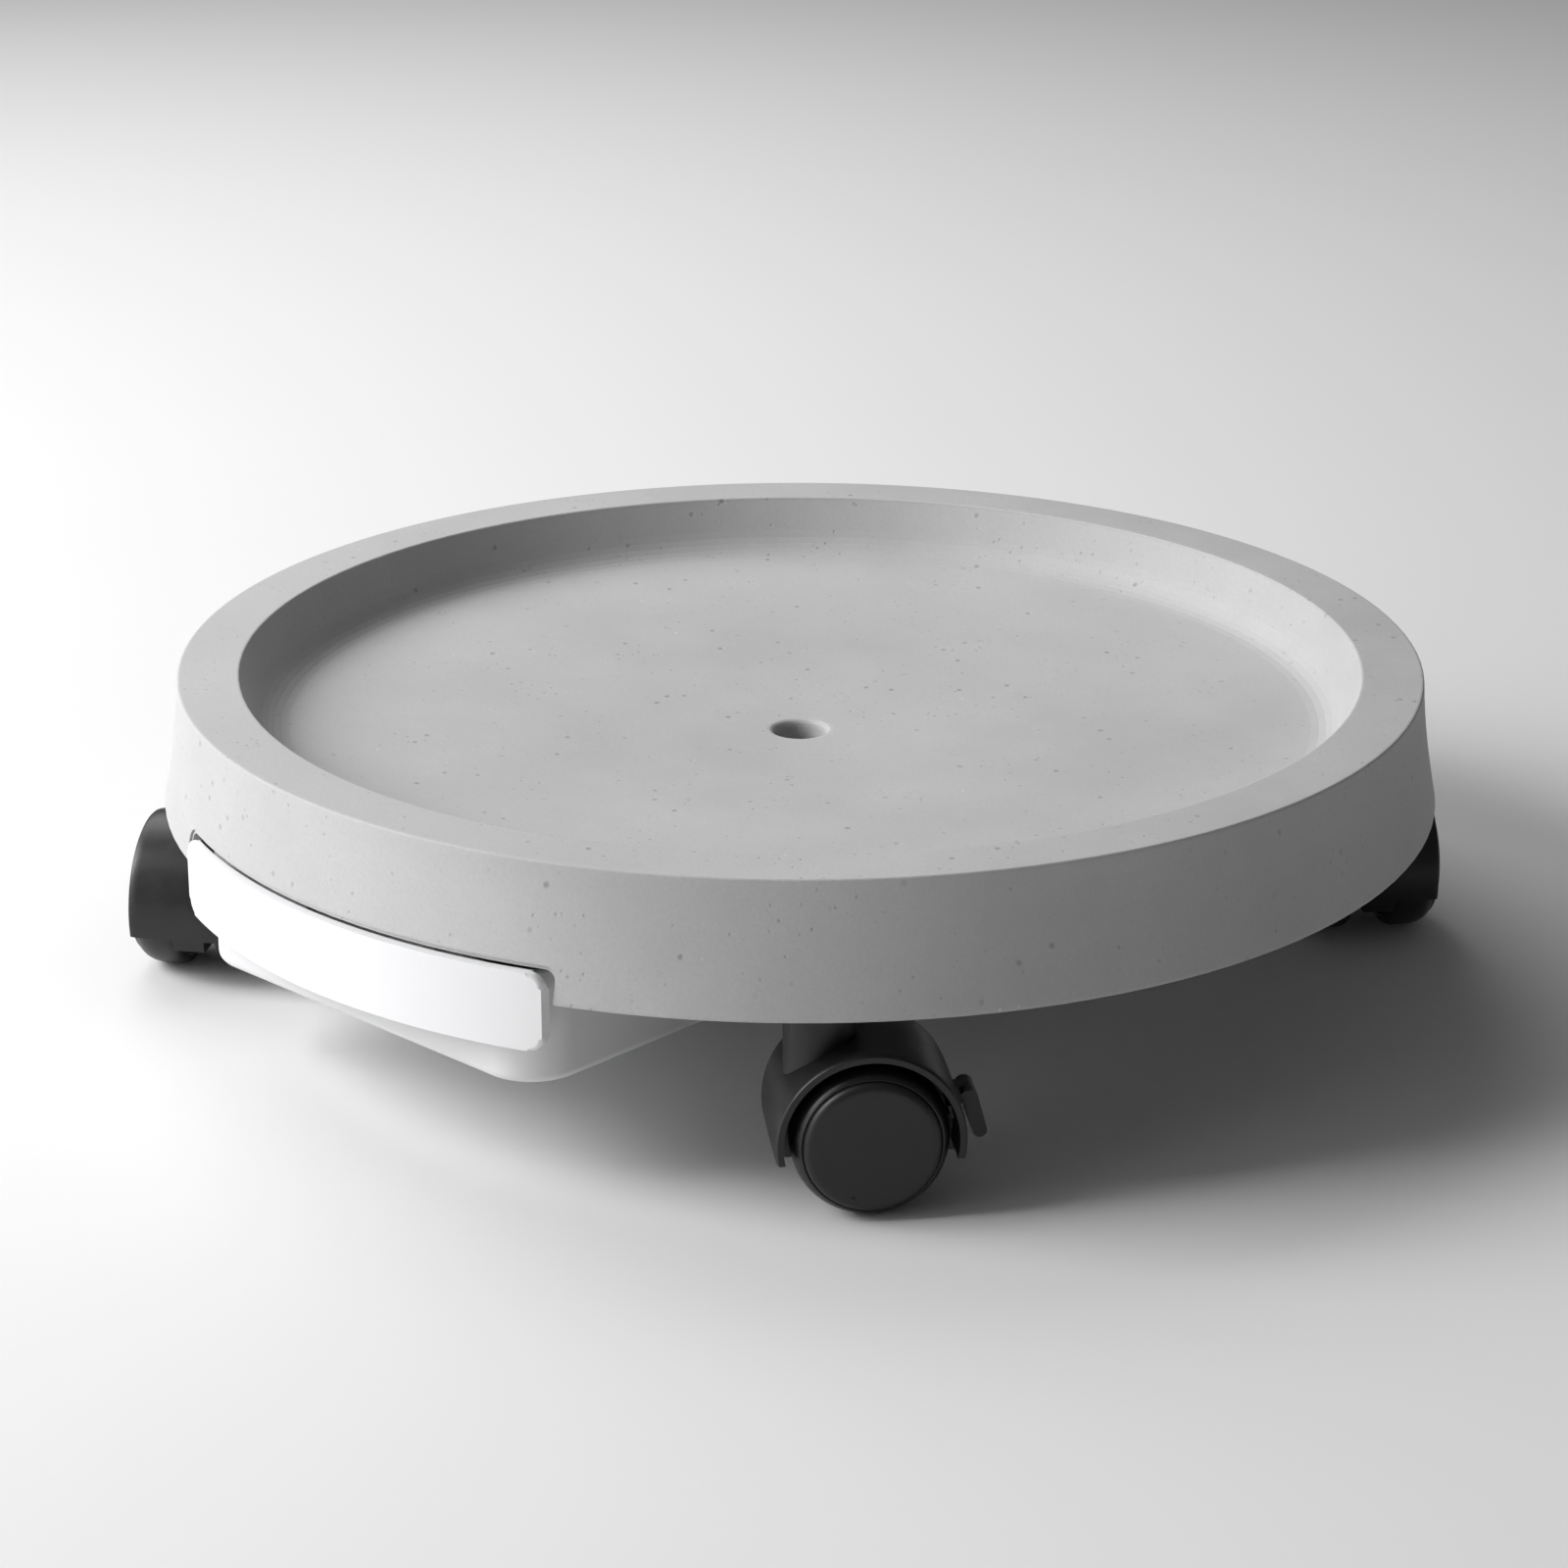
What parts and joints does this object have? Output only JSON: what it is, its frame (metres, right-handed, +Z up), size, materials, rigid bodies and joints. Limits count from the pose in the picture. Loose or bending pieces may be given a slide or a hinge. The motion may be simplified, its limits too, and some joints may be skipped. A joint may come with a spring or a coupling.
{
  "type": "rolling plant caddy",
  "caption": "Round plant-pot tray with a raised rim and central drain hole, on hooded twin-wheel swivel castors, with a slide-out drip drawer.",
  "frame": {"origin": "on the tray's axis, at the floor that the castor wheels stand on", "axes": "+Z up along the tray's axis; the drawer opens towards -Y; castors on the diagonals between X and Y"},
  "size_m": [0.3596, 0.3604, 0.088],
  "materials": {
    "cement_plastic": "stone-filled plastic with a fine speckle and small dark pits",
    "white_plastic": "satin white",
    "pan_plastic": "satin off-white",
    "rail_plastic": "matt light grey",
    "black_nylon": "satin black, moulded",
    "wheel_black": "satin black tread",
    "cap_black": "satin black",
    "steel": "bright zinc"
  },
  "bodies": {
    "base": {"tray": "cement_plastic", "rail_left": "rail_plastic", "rail_right": "rail_plastic", "rail_screws": "steel", "grip_rings": "steel", "stem_front_left": "steel", "stem_front_right": "steel", "stem_back_right": "steel", "stem_back_left": "steel"},
    "drawer": {"drawer_pan": "pan_plastic", "drawer_front": "white_plastic"},
    "castor_front_left": {"hood_front_left": "black_nylon", "axle_front_left": "steel"},
    "wheel_front_left_inner": {"wheel_front_left_inner": "wheel_black", "cap_front_left_inner": "cap_black"},
    "wheel_front_left_outer": {"wheel_front_left_outer": "wheel_black", "cap_front_left_outer": "cap_black"},
    "castor_front_right": {"hood_front_right": "black_nylon", "axle_front_right": "steel", "brake_pin_front_right": "steel"},
    "wheel_front_right_inner": {"wheel_front_right_inner": "wheel_black", "cap_front_right_inner": "cap_black"},
    "wheel_front_right_outer": {"wheel_front_right_outer": "wheel_black", "cap_front_right_outer": "cap_black"},
    "brake_front_right": {"brake_lever_front_right": "black_nylon"},
    "castor_back_right": {"hood_back_right": "black_nylon", "axle_back_right": "steel"},
    "wheel_back_right_inner": {"wheel_back_right_inner": "wheel_black", "cap_back_right_inner": "cap_black"},
    "wheel_back_right_outer": {"wheel_back_right_outer": "wheel_black", "cap_back_right_outer": "cap_black"},
    "castor_back_left": {"hood_back_left": "black_nylon", "axle_back_left": "steel", "brake_pin_back_left": "steel"},
    "wheel_back_left_inner": {"wheel_back_left_inner": "wheel_black", "cap_back_left_inner": "cap_black"},
    "wheel_back_left_outer": {"wheel_back_left_outer": "wheel_black", "cap_back_left_outer": "cap_black"},
    "brake_back_left": {"brake_lever_back_left": "black_nylon"}
  },
  "joints": [
    {"name": "drawer_slide", "type": "slide", "parent": "base", "child": "drawer", "axis": [0, -1, 0], "range_m": [0, 0.17]},
    {"name": "swivel_front_left", "type": "hinge", "parent": "base", "child": "castor_front_left", "pos_m": [-0.11703, -0.11703, 0.0475], "axis": [0, 0, 1], "continuous": true},
    {"name": "spin_front_left_inner", "type": "hinge", "parent": "castor_front_left", "child": "wheel_front_left_inner", "pos_m": [-0.11103, -0.12625, 0.02], "axis": [0.8387, 0.5446, 0], "continuous": true},
    {"name": "spin_front_left_outer", "type": "hinge", "parent": "castor_front_left", "child": "wheel_front_left_outer", "pos_m": [-0.11103, -0.12625, 0.02], "axis": [0.8387, 0.5446, 0], "continuous": true},
    {"name": "swivel_front_right", "type": "hinge", "parent": "base", "child": "castor_front_right", "pos_m": [0.11703, -0.11703, 0.0475], "axis": [0, 0, 1], "continuous": true},
    {"name": "spin_front_right_inner", "type": "hinge", "parent": "castor_front_right", "child": "wheel_front_right_inner", "pos_m": [0.1241, -0.1086, 0.02], "axis": [-0.766, 0.6428, 0], "continuous": true},
    {"name": "spin_front_right_outer", "type": "hinge", "parent": "castor_front_right", "child": "wheel_front_right_outer", "pos_m": [0.1241, -0.1086, 0.02], "axis": [-0.766, 0.6428, 0], "continuous": true},
    {"name": "brake_front_right", "type": "hinge", "parent": "castor_front_right", "child": "brake_front_right", "pos_m": [0.13535, -0.09519, 0.025], "axis": [-0.766, 0.6428, 0], "range_deg": [0, 12]},
    {"name": "swivel_back_right", "type": "hinge", "parent": "base", "child": "castor_back_right", "pos_m": [0.11703, 0.11703, 0.0475], "axis": [0, 0, 1], "continuous": true},
    {"name": "spin_back_right_inner", "type": "hinge", "parent": "castor_back_right", "child": "wheel_back_right_inner", "pos_m": [0.1086, 0.1241, 0.02], "axis": [-0.6428, -0.766, 0], "continuous": true},
    {"name": "spin_back_right_outer", "type": "hinge", "parent": "castor_back_right", "child": "wheel_back_right_outer", "pos_m": [0.1086, 0.1241, 0.02], "axis": [-0.6428, -0.766, 0], "continuous": true},
    {"name": "swivel_back_left", "type": "hinge", "parent": "base", "child": "castor_back_left", "pos_m": [-0.11703, 0.11703, 0.0475], "axis": [0, 0, 1], "continuous": true},
    {"name": "spin_back_left_inner", "type": "hinge", "parent": "castor_back_left", "child": "wheel_back_left_inner", "pos_m": [-0.12545, 0.10996, 0.02], "axis": [0.6428, -0.766, 0], "continuous": true},
    {"name": "spin_back_left_outer", "type": "hinge", "parent": "castor_back_left", "child": "wheel_back_left_outer", "pos_m": [-0.12545, 0.10996, 0.02], "axis": [0.6428, -0.766, 0], "continuous": true},
    {"name": "brake_back_left", "type": "hinge", "parent": "castor_back_left", "child": "brake_back_left", "pos_m": [-0.13886, 0.09871, 0.025], "axis": [0.6428, -0.766, 0], "range_deg": [0, 12]}
  ]
}
